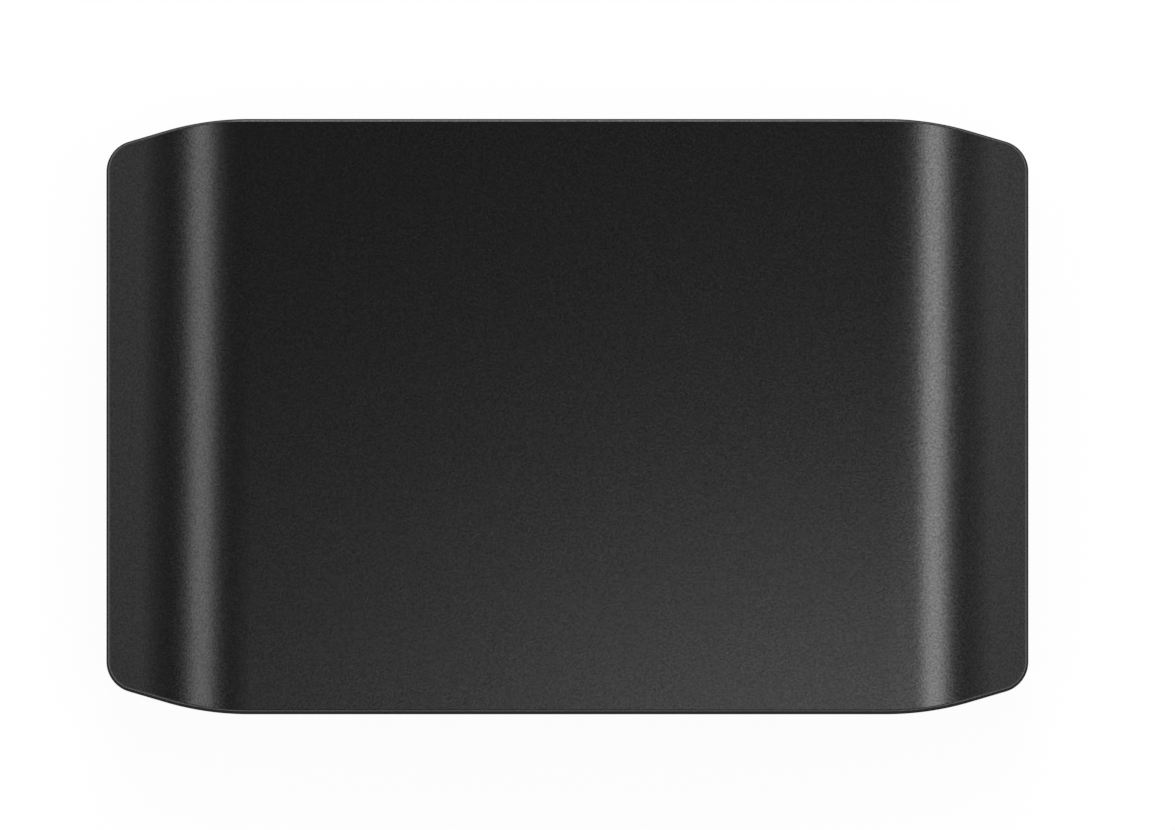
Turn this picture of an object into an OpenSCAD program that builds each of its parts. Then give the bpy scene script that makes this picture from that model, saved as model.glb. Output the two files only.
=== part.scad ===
// Video capture box: a flat moulded case whose two ends taper in plan and slope down on top.
// It holds one circuit board with two video sockets, a data socket and an audio jack at the rear.
// The box stands on z = 0, centred on the origin. The front faces -Y and the sockets face +Y.
// All sizes are in millimetres.

/* [Body] */
// Overall width across the two tapered ends
body_w = 112; // [110:1:124]
// Overall depth from the front face to the socket face
body_d = 72.3; // [68:0.1:84]
// Overall height above the table, feet included
body_h = 18; // [17:0.5:22]
// Wall thickness of both moulded covers
wall = 1.8; // [1.5:0.1:2.2]
// How far the walls lean in between the parting line and the top edge
draft = 0.25; // [0:0.05:0.4]
// Rounding of the upright corners, seen from above
corner_r = 3.8; // [3:0.1:6]
// Rounding of the edge round the top
edge_r = 0.2; // [0.2:0.1:0.8]
// Rounding of the edge round the underside
base_r = 1.2; // [0.6:0.1:1.6]

/* [Tapered ends] */
// Length of each end over which the front and rear faces turn in
plan_taper_len = 12.1; // [10:0.1:14]
// Angle at which the front and rear faces turn in
plan_taper_deg = 16.4; // [8:0.1:20]
// Radius of the bend in the front and rear faces
plan_bend_r = 36; // [20:1:40]
// Length of each end over which the top slopes down
top_taper_len = 10.5; // [8:0.5:12]
// Angle at which the top slopes down
top_slope_deg = 26; // [14:1:28]
// Radius of the bend in the top
top_bend_r = 30; // [16:1:34]

/* [Parting line] */
// Height of the bottom cover, feet left out
base_h = 3.8; // [3.4:0.1:4.4]
// Shadow gap that shows between the two covers
seam_gap = 0.25; // [0.15:0.05:0.4]
// Depth of the locating lip below the parting line
lip_h = 1; // [0.6:0.1:1.1]
// Clearance between the lip and the rim that it drops into
lip_clear = 0.1; // [0.05:0.05:0.2]

/* [Feet] */
// Diameter of a rubber foot
foot_d = 10; // [8:0.5:12]
// Full thickness of a foot
foot_h = 1.6; // [1.4:0.1:1.8]
// How far a foot stands out of the underside
foot_proud = 0.8; // [0.5:0.1:1]
// Clearance round a foot in its recess
foot_clear = 0.1; // [0.05:0.05:0.2]
// Distance from the end of the case to the middle of a foot
foot_inset_x = 9; // [8.5:0.5:11]
// Distance from the front or rear face to the middle of a foot
foot_inset_y = 12; // [11:0.5:16]

/* [Vents] */
// Number of ventilation slots in the underside
vent_count = 11; // [5:2:15]
// Length of a slot
vent_l = 20; // [12:1:26]
// Width of a slot
vent_w = 1.5; // [1:0.1:2]
// Distance from slot to slot
vent_pitch = 3.2; // [2.8:0.1:4]

/* [Screws] */
// Diameter of the thread of every screw
screw_d = 2.5; // [2:0.1:2.8]
// Diameter of a screw head
head_d = 4.4; // [4:0.1:4.8]
// Height of a screw head
head_h = 1.3; // [1:0.1:1.5]
// Length of a case screw under its head
case_screw_l = 8; // [6:0.5:9]
// Length of a board screw under its head
board_screw_l = 6; // [5:0.5:7]
// Clearance round a screw in a hole that it passes through
screw_clear = 0.2; // [0.1:0.05:0.3]
// Thickness of the seat under the head of a case screw
seat_t = 1.2; // [0.8:0.1:1.4]
// Outside diameter of a screw boss
boss_d = 5.6; // [5:0.1:6.4]

/* [Circuit board] */
// Thickness of the circuit board
board_t = 1.6; // [1:0.1:2]
// Space between the floor of the case and the board
board_gap = 2.4; // [2.2:0.1:3]
// Space between the front and rear walls and the board
board_edge = 0.6; // [0.4:0.1:1]
// Space between the ends of the board and the case bosses
board_end_gap = 1.2; // [0.6:0.1:2]
// Distance from a mounting hole to the edges of the board
board_hole_inset = 3.5; // [3:0.1:4]

/* [Socket row] */
// How far the mouth of a socket lies behind the rear face
port_recess = 0.4; // [0:0.1:0.8]
// Clearance round a socket in the rear wall
port_clear = 0.25; // [0.15:0.05:0.4]
// Chamfer round a socket's opening
port_chamfer = 0.5; // [0.2:0.1:0.8]
// Space between a corner boss and the socket next to it
port_margin = 2.2; // [1:0.1:3]

/* [Video sockets] */
// Width of the opening of a video socket
video_w = 14; // [13:0.1:15]
// Height of the opening of a video socket
video_h = 4.55; // [4:0.05:5]
// Length of the metal shell
video_len = 11.8; // [10.5:0.1:13]
// Sheet thickness of the metal shell
video_sheet = 0.3; // [0.2:0.05:0.4]
// Width of the tongue that carries the contacts
video_tongue_w = 11; // [10.6:0.1:11.6]
// Thickness of the tongue
video_tongue_t = 1.2; // [1:0.1:1.4]

/* [Data socket] */
// Width of the opening of the data socket
data_w = 8.34; // [8.1:0.01:8.6]
// Height of the opening of the data socket
data_h = 2.56; // [2.4:0.01:2.8]
// Length of the metal shell
data_len = 7.3; // [6.5:0.1:8]
// Sheet thickness of the metal shell
data_sheet = 0.25; // [0.2:0.05:0.3]
// Width of the tongue that carries the contacts
data_tongue_w = 6.69; // [6.4:0.01:6.9]
// Thickness of the tongue
data_tongue_t = 0.7; // [0.6:0.05:0.8]

/* [Audio jack] */
// Diameter of the bore that takes the plug
jack_bore_d = 3.6; // [3.55:0.01:3.8]
// Depth of the bore
jack_bore_l = 12.4; // [11.5:0.1:12.6]
// Diameter of the nose in the rear wall
jack_nose_d = 5.4; // [5.2:0.1:5.6]
// Width of the moulded body
jack_w = 6.4; // [6.2:0.1:7]
// Length of the jack from the mouth to the back
jack_len = 14; // [13.5:0.1:15]
// Space between the nose and the board under it
jack_lift = 0.2; // [0.1:0.05:0.5]

/* [Status light] */
// Width of the light window in the front face
light_w = 6; // [3:0.5:10]
// Height of the light window
light_h = 1.2; // [0.8:0.1:1.4]
// Height of the middle of the window above the board
light_rise = 1.3; // [1.1:0.1:1.6]
// Clearance round the light pipe in the front wall
light_clear = 0.08; // [0.05:0.01:0.15]

/* [Cooling] */
// Side of the square heat sink
sink_w = 28; // [22:1:30]
// Thickness of the heat sink's base
sink_base_t = 1.5; // [1:0.1:2]
// Space between the fins and the ribs above them
fin_gap = 1; // [0.6:0.1:2]
// Thickness of a fin
fin_t = 1; // [0.8:0.1:1.2]
// Number of fins
fin_count = 9; // [5:1:10]
// Thickness of the soft pad under the heat sink
pad_t = 1; // [0.5:0.1:1.2]

/* [Hidden] */
$fn = 48;

// Colours of the finishes
cover_black = "#1d1d1e";
rubber_grey = "#2b2b2c";
screw_steel = "#8d8f92";
board_green = "#123527";
plated_steel = "#c3c5c8";
socket_black = "#18181a";
contact_gold = "#d3a94a";
lens_white = "#e8ecef";
package_black = "#242527";
alloy_grey = "#a9adb1";
pad_grey = "#8fa0b0";
ferrite_grey = "#4b4c50";
ceramic_tan = "#a98a64";
led_white = "#f2f3ee";

// Levels above the table
z_base = foot_proud;
z_floor = z_base + wall;
z_seam = z_base + base_h;
z_board = z_floor + board_gap;
z_deck = z_board + board_t;
z_ceiling = body_h - wall;
z_seat = z_seam - seat_t;

// Depths of the front and rear faces, the board and the socket mouths
y_rear = body_d / 2;
y_mouth = y_rear - port_recess;
board_rear = y_rear - wall - board_edge;

// Screw and foot places
foot_x = body_w / 2 - foot_inset_x;
foot_y = body_d / 2 - foot_inset_y;
board_x = foot_x - boss_d / 2 - board_end_gap;
hole_x = board_x - board_hole_inset;
hole_y = board_rear - board_hole_inset;
pillar_wall = 1.2;
pilot_extra = 0.6;

// Sockets in a row along the rear wall, with equal gaps between the two board bosses at the rear
row_end = hole_x - boss_d / 2 - port_margin;
video_out_w = video_w + 2 * video_sheet;
data_out_w = data_w + 2 * data_sheet;
row_gap = (2 * row_end - 2 * video_out_w - data_out_w - jack_w) / 3;
video_out_x = row_end - video_out_w / 2;
video_in_x = video_out_x - video_out_w - row_gap;
data_x = video_in_x - (video_out_w + data_out_w) / 2 - row_gap;
audio_x = data_x - (data_out_w + jack_w) / 2 - row_gap;

// Outer form of the case

// Where the plan bend starts, and the centre of its arc
plan_start = body_w / 2 - plan_taper_len - plan_bend_r * tan(plan_taper_deg / 2);
plan_centre_y = body_d / 2 - plan_bend_r;
// Where the bend in the top starts and ends
top_vertex = body_w / 2 - top_taper_len;
top_start = top_vertex - top_bend_r * tan(top_slope_deg / 2);
top_end = top_start + top_bend_r * sin(top_slope_deg);

// Half depth of the plan at a distance x from the middle, moved in by inset
function half_depth(x, inset) =
    let (r = plan_bend_r - inset, u = x - plan_start, line_u = r * sin(plan_taper_deg))
    u <= 0 ? plan_centre_y + r
    : u < line_u ? plan_centre_y + sqrt(r * r - u * u)
    : plan_centre_y + r * cos(plan_taper_deg) - (u - line_u) * tan(plan_taper_deg);

// Height of the top at a distance x from the middle
function top_z(x) =
    let (u = abs(x) - top_start)
    u <= 0 ? body_h
    : abs(x) < top_end ? body_h - top_bend_r + sqrt(top_bend_r * top_bend_r - u * u)
    : body_h - (abs(x) - top_vertex) * tan(top_slope_deg);

// Centre of a corner's arc, which touches the end face and the tapered face
corner_x = body_w / 2 - corner_r;
corner_y = half_depth(corner_x, 0) - corner_r / cos(plan_taper_deg);
corner_steps = 10;

// Distances from the middle at which the bends are drawn
bend_steps = 16;
bend_from = min(plan_start, top_start);
bend_to = min(max(plan_start + plan_bend_r * sin(plan_taper_deg), top_end), corner_x);
stations = [for (i = [0:bend_steps]) bend_from + (bend_to - bend_from) * i / bend_steps];

// A quarter of the plan outline, from the bend round to the end face
function quarter(inset) = [
    for (x = stations) [x, half_depth(x, inset)],
    for (i = [0:corner_steps])
        let (a = (90 - plan_taper_deg) * (1 - i / corner_steps), r = corner_r - inset)
        [corner_x + r * cos(a), corner_y + r * sin(a)]
];
function flip(points) = [for (i = [len(points) - 1:-1:0]) points[i]];

// The whole plan outline, clockwise from above, moved in by inset
function outline(inset) =
    let (q = quarter(inset))
    concat(
        q,
        flip([for (p = q) [p.x, -p.y]]),
        [for (p = q) [-p.x, -p.y]],
        flip([for (p = q) [-p.x, p.y]])
    );

// A level of a loft is [inset, height, whether that height is measured down from the top surface]
function ring(level) = [
    for (p = outline(level[0])) [p.x, p.y, level[2] ? top_z(p.x) - level[1] : level[1]]
];

// Closed solid through a stack of levels, with a ruled top
module loft(levels) {
    q = len(quarter(0));
    n = 4 * q;
    last = (len(levels) - 1) * n;
    rungs = concat(
        [for (i = [q - 1:-1:0]) [i, 2 * q - 1 - i]],
        [for (i = [0:q - 1]) [4 * q - 1 - i, 2 * q + i]]
    );
    sides = [
        for (r = [0:len(levels) - 2], i = [0:n - 1])
            let (a = r * n + i, b = r * n + (i + 1) % n)
            each [[a, b, b + n], [a, b + n, a + n]]
    ];
    lid = [
        for (k = [0:len(rungs) - 2])
            let (u = rungs[k], v = rungs[k + 1])
            [last + v[0], last + u[0], last + u[1], last + v[1]]
    ];
    base = [for (i = [n - 1:-1:0]) i];
    polyhedron([for (level = levels) each ring(level)], concat(sides, lid, [base]));
}

round_steps = 4;
// Levels round the bottom edge
base_levels = [
    for (i = [0:round_steps])
        let (a = 90 * i / round_steps)
        [base_r * (1 - sin(a)), z_base + base_r * (1 - cos(a)), false]
];
// Levels round the top edge
edge_levels = [
    for (i = [0:round_steps])
        let (a = 90 * i / round_steps)
        [draft + edge_r * (1 - cos(a)), edge_r * (1 - sin(a)), true]
];

// Hollow inside the two covers
module cavity() {
    loft([[wall, z_floor, false], [wall, z_seam, false], [wall + draft, wall, true]]);
}

// Small shapes that repeat

module at_corners(x, y) {
    for (sx = [-1, 1], sy = [-1, 1])
        translate([sx * x, sy * y, 0]) children();
}

// Rounded rectangle with true arcs
module rounded_rect(w, d, r) {
    square([w - 2 * r, d], center = true);
    square([w, d - 2 * r], center = true);
    for (sx = [-1, 1], sy = [-1, 1])
        translate([sx * (w / 2 - r), sy * (d / 2 - r)]) circle(r);
}

// Slot with round ends, along X
slot_flat = 0.001;
module slot(w, h) {
    rounded_rect(w, h, h / 2 - slot_flat);
}

// Extrudes a profile drawn in X and Z from the rear face inwards
module inward(length) {
    rotate([90, 0, 0]) linear_extrude(length) children();
}

// Profile of a video socket's opening: full width above, drawn in below
video_foot_w = 10.6;
video_straight_h = 2.3;
video_round = 0.5;
module video_profile(grow) {
    offset(r = video_round + grow) offset(delta = -video_round)
        polygon([
            [-video_foot_w / 2, 0], [video_foot_w / 2, 0],
            [video_w / 2, video_h - video_straight_h], [video_w / 2, video_h],
            [-video_w / 2, video_h], [-video_w / 2, video_h - video_straight_h]
        ]);
}

// Profile of the data socket's opening, a slot on its side
module data_profile(grow) {
    translate([0, data_h / 2]) slot(data_w + 2 * grow, data_h + 2 * grow);
}

// Covers

// Screw bosses under the top, cut short at the parting line and at the board
module cover_bosses() {
    at_corners(foot_x, foot_y)
        translate([0, 0, z_seam]) cylinder(d = boss_d, h = body_h);
    at_corners(hole_x, hole_y)
        translate([0, 0, z_deck]) cylinder(d = boss_d, h = body_h);
}

// Stiffening ribs under the top
rib_t = 1;
rib_drop = 1.2;
rib_y = 12;
rib_x = 18;
module cover_ribs() {
    for (s = [-1, 1]) {
        translate([-body_w / 2, s * rib_y - rib_t / 2, z_ceiling - rib_drop])
            cube([body_w, rib_t, body_h]);
        translate([s * rib_x - rib_t / 2, -body_d / 2, z_ceiling - rib_drop])
            cube([rib_t, body_d, body_h]);
    }
}

// Locating lip, drawn solid: the hollow of the cover leaves only its rim
lip_root = 0.8;
module locating_lip() {
    inset = wall / 2 + lip_clear;
    loft([[inset, z_seam - lip_h, false], [inset, z_seam + seam_gap + lip_root, false]]);
}

// Opening for a shell in the rear wall, with a chamfer that ends on the outer face
chamfer_slice = 0.01;
module shell_profile(kind, grow) {
    if (kind == "video")
        translate([0, video_sheet]) video_profile(video_sheet + grow);
    else
        translate([0, data_sheet]) data_profile(data_sheet + grow);
}

module shell_opening(kind) {
    translate([0, wall / 2, 0]) inward(2 * wall) shell_profile(kind, port_clear);
    hull() {
        translate([0, chamfer_slice, 0])
            inward(chamfer_slice) shell_profile(kind, port_clear + port_chamfer);
        translate([0, -port_chamfer, 0]) inward(chamfer_slice) shell_profile(kind, port_clear);
    }
}

module nose_opening() {
    r = jack_nose_d / 2 + port_clear;
    translate([0, wall / 2, 0]) inward(2 * wall) circle(r);
    rotate([90, 0, 0]) cylinder(r1 = r + port_chamfer, r2 = r, h = port_chamfer);
}

module socket_openings() {
    translate([0, y_rear, z_deck]) {
        translate([video_in_x, 0, 0]) shell_opening("video");
        translate([video_out_x, 0, 0]) shell_opening("video");
        translate([data_x, 0, 0]) shell_opening("data");
        translate([audio_x, 0, jack_axis_h]) nose_opening();
    }
}

module light_profile(grow) {
    slot(light_w + 2 * grow, light_h + 2 * grow);
}

module top_cover() {
    color(cover_black)
        difference() {
            union() {
                loft(concat([[0, z_seam + seam_gap, false]], edge_levels));
                locating_lip();
            }
            difference() {
                cavity();
                cover_bosses();
                cover_ribs();
            }
            at_corners(foot_x, foot_y)
                translate([0, 0, z_seam - lip_h])
                    cylinder(d = screw_d, h = lip_h - seat_t + case_screw_l + pilot_extra);
            at_corners(hole_x, hole_y)
                translate([0, 0, z_board])
                    cylinder(d = screw_d, h = board_screw_l + pilot_extra);
            socket_openings();
            translate([0, wall + draft - y_rear + light_clear, z_deck + light_rise])
                inward(wall + draft + 2 * light_clear) light_profile(light_clear);
        }
}

// Groove inside the rim of the bottom cover, which takes the lip
groove_extra = 0.2;
groove_overlap = 0.3;
module lip_groove() {
    z = z_seam - lip_h - groove_extra;
    difference() {
        loft([[wall / 2, z, false], [wall / 2, z_seam + groove_extra, false]]);
        loft([
            [wall + groove_overlap, z - groove_extra, false],
            [wall + groove_overlap, z_seam + 2 * groove_extra, false]
        ]);
    }
}

module bottom_cover() {
    bore_d = head_d + 2 * screw_clear;
    color(cover_black)
        difference() {
            loft(concat(base_levels, [[0, z_seam, false]]));
            difference() {
                cavity();
                at_corners(foot_x, foot_y) cylinder(d = bore_d + 2 * pillar_wall, h = z_seam);
            }
            lip_groove();
            at_corners(foot_x, foot_y) {
                cylinder(d = foot_d + 2 * foot_clear, h = foot_h);
                cylinder(d = bore_d, h = z_seat);
                cylinder(d = screw_d + 2 * screw_clear, h = z_seam + groove_extra);
            }
            for (i = [0:vent_count - 1])
                translate([(i - (vent_count - 1) / 2) * vent_pitch, 0, 0])
                    rotate(90) linear_extrude(z_floor + groove_extra) slot(vent_l, vent_w);
        }
}

// Feet and screws

foot_chamfer = 0.3;
module foot(sx, sy) {
    r = foot_d / 2;
    color(rubber_grey)
        translate([sx * foot_x, sy * foot_y, 0])
            rotate_extrude()
                polygon([[0, 0], [r - foot_chamfer, 0], [r, foot_chamfer], [r, foot_h], [0, foot_h]]);
}

// Pan-head screw that points up, with its seat at z = 0 and a cross recess in its head
recess_w = 0.6;
recess_l = 2.6;
recess_depth = 0.7;
point_h = 0.5;
module screw(length) {
    tip_r = screw_d / 2 - point_h / 2;
    dome = head_h / 3;
    difference() {
        rotate_extrude()
            polygon([
                [0, -head_h], [head_d / 2 - dome, -head_h], [head_d / 2, dome - head_h],
                [head_d / 2, 0], [screw_d / 2, 0], [screw_d / 2, length - point_h],
                [tip_r, length], [0, length]
            ]);
        for (a = [0, 90])
            rotate(a)
                translate([-recess_l / 2, -recess_w / 2, -2 * head_h])
                    cube([recess_l, recess_w, head_h + recess_depth]);
    }
}

module case_screws() {
    color(screw_steel) at_corners(foot_x, foot_y) translate([0, 0, z_seat]) screw(case_screw_l);
}

module board_screws() {
    color(screw_steel) at_corners(hole_x, hole_y) translate([0, 0, z_board]) screw(board_screw_l);
}

// Circuit board

board_corner_r = 2;
leg_w = 1.8;
leg_below = 0.7;
leg_clear = 0.15;

// Places of a shell's four legs along its length, measured back from the mouth
video_leg_y = [4.2, 9.6];
data_leg_y = [2.9, 6.1];

// Legs of a socket shell, as blades on both sides that pass through the board
module legs(half_w, sheet, top, places, grow) {
    for (s = [-1, 1], y = places)
        translate([
            s * (half_w + sheet / 2) - sheet / 2 - grow, -y - leg_w / 2 - grow, -board_t - leg_below
        ])
            cube([sheet + 2 * grow, leg_w + 2 * grow, board_t + leg_below + top]);
}

module video_legs(grow) {
    legs(video_w / 2, video_sheet, video_h - video_straight_h / 2, video_leg_y, grow);
}

module data_legs(grow) {
    legs(data_w / 2, data_sheet, data_h / 2, data_leg_y, grow);
}

module main_board() {
    color(board_green)
        difference() {
            translate([0, 0, z_board])
                linear_extrude(board_t) rounded_rect(2 * board_x, 2 * board_rear, board_corner_r);
            at_corners(hole_x, hole_y)
                translate([0, 0, z_floor]) cylinder(d = screw_d + 2 * screw_clear, h = body_h);
            translate([0, y_mouth, z_deck]) {
                for (x = [video_in_x, video_out_x])
                    translate([x, 0, 0]) video_legs(leg_clear);
                translate([data_x, 0, 0]) data_legs(leg_clear);
                translate([audio_x, 0, 0]) spring_pins(leg_clear);
            }
        }
}

// Video sockets, drawn with the mouth at y = 0 facing +Y and the board at z = 0

core_len = 5;
core_clear = 0.05;
tongue_setback = 1.4;
contact_w = 0.4;
contact_t = 0.15;
contact_setback = 0.5;
tail_l = 0.8;
video_tongue_z = video_sheet + video_h / 2;

module on_rear(x) {
    translate([x, y_mouth, z_deck]) children();
}

// Spring finger stamped out of the roof of a shell, left standing between three slits
finger_w = 2.2;
finger_l = 4.2;
finger_slit = 0.4;
finger_from_mouth = 1.6;
module finger_slits(height) {
    for (s = [-1, 1])
        translate([s * (finger_w + finger_slit) / 2 - finger_slit / 2, -finger_from_mouth - finger_l, 0])
            cube([finger_slit, finger_l, height]);
    translate([-finger_w / 2 - finger_slit, -finger_from_mouth - finger_slit, 0])
        cube([finger_w + 2 * finger_slit, finger_slit, height]);
}

finger_x = 3.4;
module video_shell() {
    color(plated_steel) {
        difference() {
            union() {
                translate([0, 0, video_sheet]) inward(video_len) video_profile(video_sheet);
                video_legs(0);
            }
            translate([0, video_len / 2, video_sheet]) inward(2 * video_len) video_profile(0);
            for (s = [-1, 1])
                translate([s * finger_x, 0, video_h]) finger_slits(2 * video_sheet + video_h);
        }
    }
}

// A contact lies on the tongue, runs back through the core and bends down to the board
module contact(z, drop_y, w, t, front) {
    tail_y = drop_y + t + tail_l;
    rotate([90, 0, 90])
        translate([0, 0, -w / 2])
            linear_extrude(w)
                polygon([
                    [-front, z], [-front, z + t], [-drop_y - t, z + t], [-drop_y - t, t],
                    [-tail_y, t], [-tail_y, 0], [-drop_y, 0], [-drop_y, z]
                ]);
}

// Rows of contacts above and below the video tongue, half a pitch apart
video_contact_pitch = 1;
video_top_count = 10;
module video_contacts() {
    front = tongue_setback + contact_setback;
    drop_y = video_len + contact_t;
    rows = [
        [video_top_count, video_tongue_z + video_tongue_t / 2],
        [video_top_count - 1, video_tongue_z - video_tongue_t / 2 - contact_t]
    ];
    color(contact_gold)
        for (row = rows, i = [0:row[0] - 1])
            translate([(i - (row[0] - 1) / 2) * video_contact_pitch, 0, 0])
                contact(row[1], drop_y, contact_w, contact_t, front);
}

// Channel through a core for a row of contacts that lies on one side of the tongue
module contact_channel(row_w, z, t, length, side) {
    translate([-row_w / 2 - core_clear, -length, side > 0 ? z : z - core_clear])
        cube([row_w + 2 * core_clear, length, t + core_clear]);
}

module video_core() {
    row_w = (video_top_count - 1) * video_contact_pitch + contact_w;
    half_t = video_tongue_t / 2;
    color(socket_black)
        difference() {
            union() {
                translate([0, core_len - video_len, video_sheet])
                    inward(core_len) video_profile(-core_clear);
                translate([-video_tongue_w / 2, -video_len, video_tongue_z - half_t])
                    cube([video_tongue_w, video_len - tongue_setback, video_tongue_t]);
            }
            contact_channel(row_w, video_tongue_z + half_t, contact_t, 2 * video_len, 1);
            contact_channel(row_w, video_tongue_z - half_t - contact_t, contact_t, 2 * video_len, -1);
        }
}

// Data socket, drawn the same way

data_core_len = 2.6;
data_setback = 0.7;
data_contact_w = 0.26;
data_contact_t = 0.08;
data_contact_count = 12;
data_contact_pitch = 0.5;
data_contact_setback = 0.3;
data_tongue_z = data_sheet + data_h / 2;
data_upper_drop_y = data_len + tail_l + 4 * data_contact_t;

module data_shell() {
    color(plated_steel)
        difference() {
            union() {
                translate([0, 0, data_sheet]) inward(data_len) data_profile(data_sheet);
                data_legs(0);
            }
            translate([0, data_len / 2, data_sheet]) inward(2 * data_len) data_profile(0);
        }
}

// The upper row passes over the lower one and comes down behind it
module data_contacts() {
    front = data_setback + data_contact_setback;
    upper = data_tongue_z + data_tongue_t / 2;
    lower = data_tongue_z - data_tongue_t / 2 - data_contact_t;
    drop_y = data_len + data_contact_t;
    color(contact_gold)
        for (i = [0:data_contact_count - 1])
            translate([(i - (data_contact_count - 1) / 2) * data_contact_pitch, 0, 0]) {
                contact(upper, data_upper_drop_y, data_contact_w, data_contact_t, front);
                contact(lower, drop_y, data_contact_w, data_contact_t, front);
            }
}

module data_core() {
    row_w = (data_contact_count - 1) * data_contact_pitch + data_contact_w;
    half_t = data_tongue_t / 2;
    color(socket_black)
        difference() {
            union() {
                translate([0, data_core_len - data_len, data_sheet])
                    inward(data_core_len) data_profile(-core_clear);
                translate([-data_tongue_w / 2, -data_len, data_tongue_z - half_t])
                    cube([data_tongue_w, data_len - data_setback, data_tongue_t]);
            }
            contact_channel(row_w, data_tongue_z + half_t, data_contact_t, 2 * data_len, 1);
            contact_channel(row_w, data_tongue_z - half_t - data_contact_t, data_contact_t,
                            2 * data_len, -1);
        }
}

// Audio jack, drawn the same way

jack_axis_h = jack_nose_d / 2 + jack_lift;
jack_nose_l = 3;
jack_roof = 0.6;
spring_t = 0.25;
spring_w = 1;
spring_clear = 0.04;
// Each spring is [angle round the bore, distance from the mouth, length]
springs = [[90, 4, 4], [-90, 4.4, 4.4], [0, 8.2, 3.6]];

// Leaf that lies along the bore, from a distance inner off the bore's axis outwards
module spring_leaf(angle, from_mouth, length, inner, grow) {
    outer = jack_bore_d / 2 + spring_clear + spring_t + grow;
    translate([0, 0, jack_axis_h])
        rotate([0, 180 - angle, 0])
            translate([-spring_w / 2 - grow, -from_mouth - length - grow, inner])
                cube([spring_w + 2 * grow, length + 2 * grow, outer - inner]);
}

// Pin from the inner end of a leaf down through the board
module spring_pin(angle, from_mouth, length, grow) {
    r = jack_bore_d / 2 + spring_clear;
    side = sin(angle);
    top = side == 0 ? jack_axis_h - r - spring_t / 2 : jack_axis_h;
    translate([
        side * (r + spring_t / 2) - spring_t / 2 - grow, -from_mouth - length - grow, -board_t - leg_below
    ])
        cube([spring_t + 2 * grow, spring_w + 2 * grow, board_t + leg_below + top]);
}

module spring_pins(grow) {
    for (s = springs)
        spring_pin(s[0], s[1], s[2], grow);
}

module spring_leaves(inner, grow) {
    for (s = springs)
        spring_leaf(s[0], s[1], s[2], inner, grow);
}

module jack_body() {
    color(socket_black)
        difference() {
            union() {
                translate([0, 0, jack_axis_h]) inward(jack_nose_l + jack_roof) circle(jack_nose_d / 2);
                translate([-jack_w / 2, -jack_len, 0])
                    cube([jack_w, jack_len - jack_nose_l, jack_axis_h + jack_nose_d / 2]);
            }
            translate([0, jack_nose_l, jack_axis_h])
                inward(jack_bore_l + jack_nose_l) circle(jack_bore_d / 2);
            spring_leaves(jack_bore_d / 4, spring_clear);
            spring_pins(spring_clear);
        }
}

module jack_contacts() {
    color(contact_gold) {
        spring_leaves(jack_bore_d / 2 + spring_clear, 0);
        spring_pins(0);
    }
}

// Status light

led_w = 3.2;
led_d = 1.2;
led_h = 1.1;
led_gap = 0.1;
flange_t = 0.8;
flange_rim = 0.9;

// Light pipe: a bar through the front wall with a flange behind it that stands on the board
module light_pipe() {
    rim = min(flange_rim, light_rise - light_h / 2);
    color(lens_white)
        translate([0, wall + draft + flange_t - y_rear, z_deck + light_rise]) {
            inward(wall + flange_t) light_profile(0);
            inward(flange_t) light_profile(rim);
        }
}

module status_led() {
    color(led_white)
        translate([-led_w / 2, wall + draft + flange_t + led_gap - y_rear, z_deck])
            cube([led_w, led_d, led_h]);
}

// Parts on the board

// Behind the sockets and forward from there
line_gap = 0.6;
part_gap = 2;
surge_w = 2.1;
surge_d = 1;
surge_h = 0.5;
resistor_l = 1;
resistor_w = 0.5;
resistor_h = 0.35;
video_tails_y = y_mouth - video_len - 2 * contact_t - tail_l;
data_tails_y = y_mouth - data_upper_drop_y - tail_l - data_contact_t;
lines_l = 3 * line_gap + surge_d + resistor_l;
receiver_w = 12;
receiver_h = 0.9;
receiver_y = video_tails_y - lines_l - receiver_w / 2;
sink_y = receiver_y - receiver_w / 2 - part_gap / 2 - sink_w / 2;
processor_w = 17;
processor_h = 1.4;
driver_w = 7;
driver_h = 0.8;
driver_y = video_tails_y - lines_l - driver_w / 2;
controller_w = 9;
controller_h = 0.9;
controller_y = data_tails_y - lines_l - controller_w / 2;
converter_d = 4.4;
lead_reach = 1;
converter_y = y_mouth - jack_len - part_gap - lead_reach - converter_d / 2;
side_x = sink_w / 2 + part_gap;

module on_deck(x, y) {
    translate([x, y, z_deck]) children();
}

// Flat package with a dot over its first lead
dot_r = 0.4;
dot_depth = 0.15;
dot_inset = 1.2;
module package(w, d, h) {
    color(package_black)
        difference() {
            translate([-w / 2, -d / 2, 0]) cube([w, d, h]);
            translate([dot_inset - w / 2, d / 2 - dot_inset, h - dot_depth]) cylinder(r = dot_r, h = h);
        }
}

// Package with gull-wing leads along its two long sides
lead_t = 0.15;
module leaded_package(w, d, h, count, pitch, lead_w) {
    color(package_black) package(w, d, h);
    color(plated_steel)
        for (s = [-1, 1], i = [0:count - 1])
            translate([(i - (count - 1) / 2) * pitch - lead_w / 2, s * d / 2, 0])
                rotate([90, 0, 90])
                    linear_extrude(lead_w)
                        polygon([
                            [0, h / 2], [s * lead_reach / 2, h / 2], [s * lead_reach / 2, lead_t],
                            [s * lead_reach, lead_t], [s * lead_reach, 0],
                            [s * (lead_reach / 2 - lead_t), 0],
                            [s * (lead_reach / 2 - lead_t), h / 2 - lead_t], [0, h / 2 - lead_t]
                        ]);
}

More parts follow.
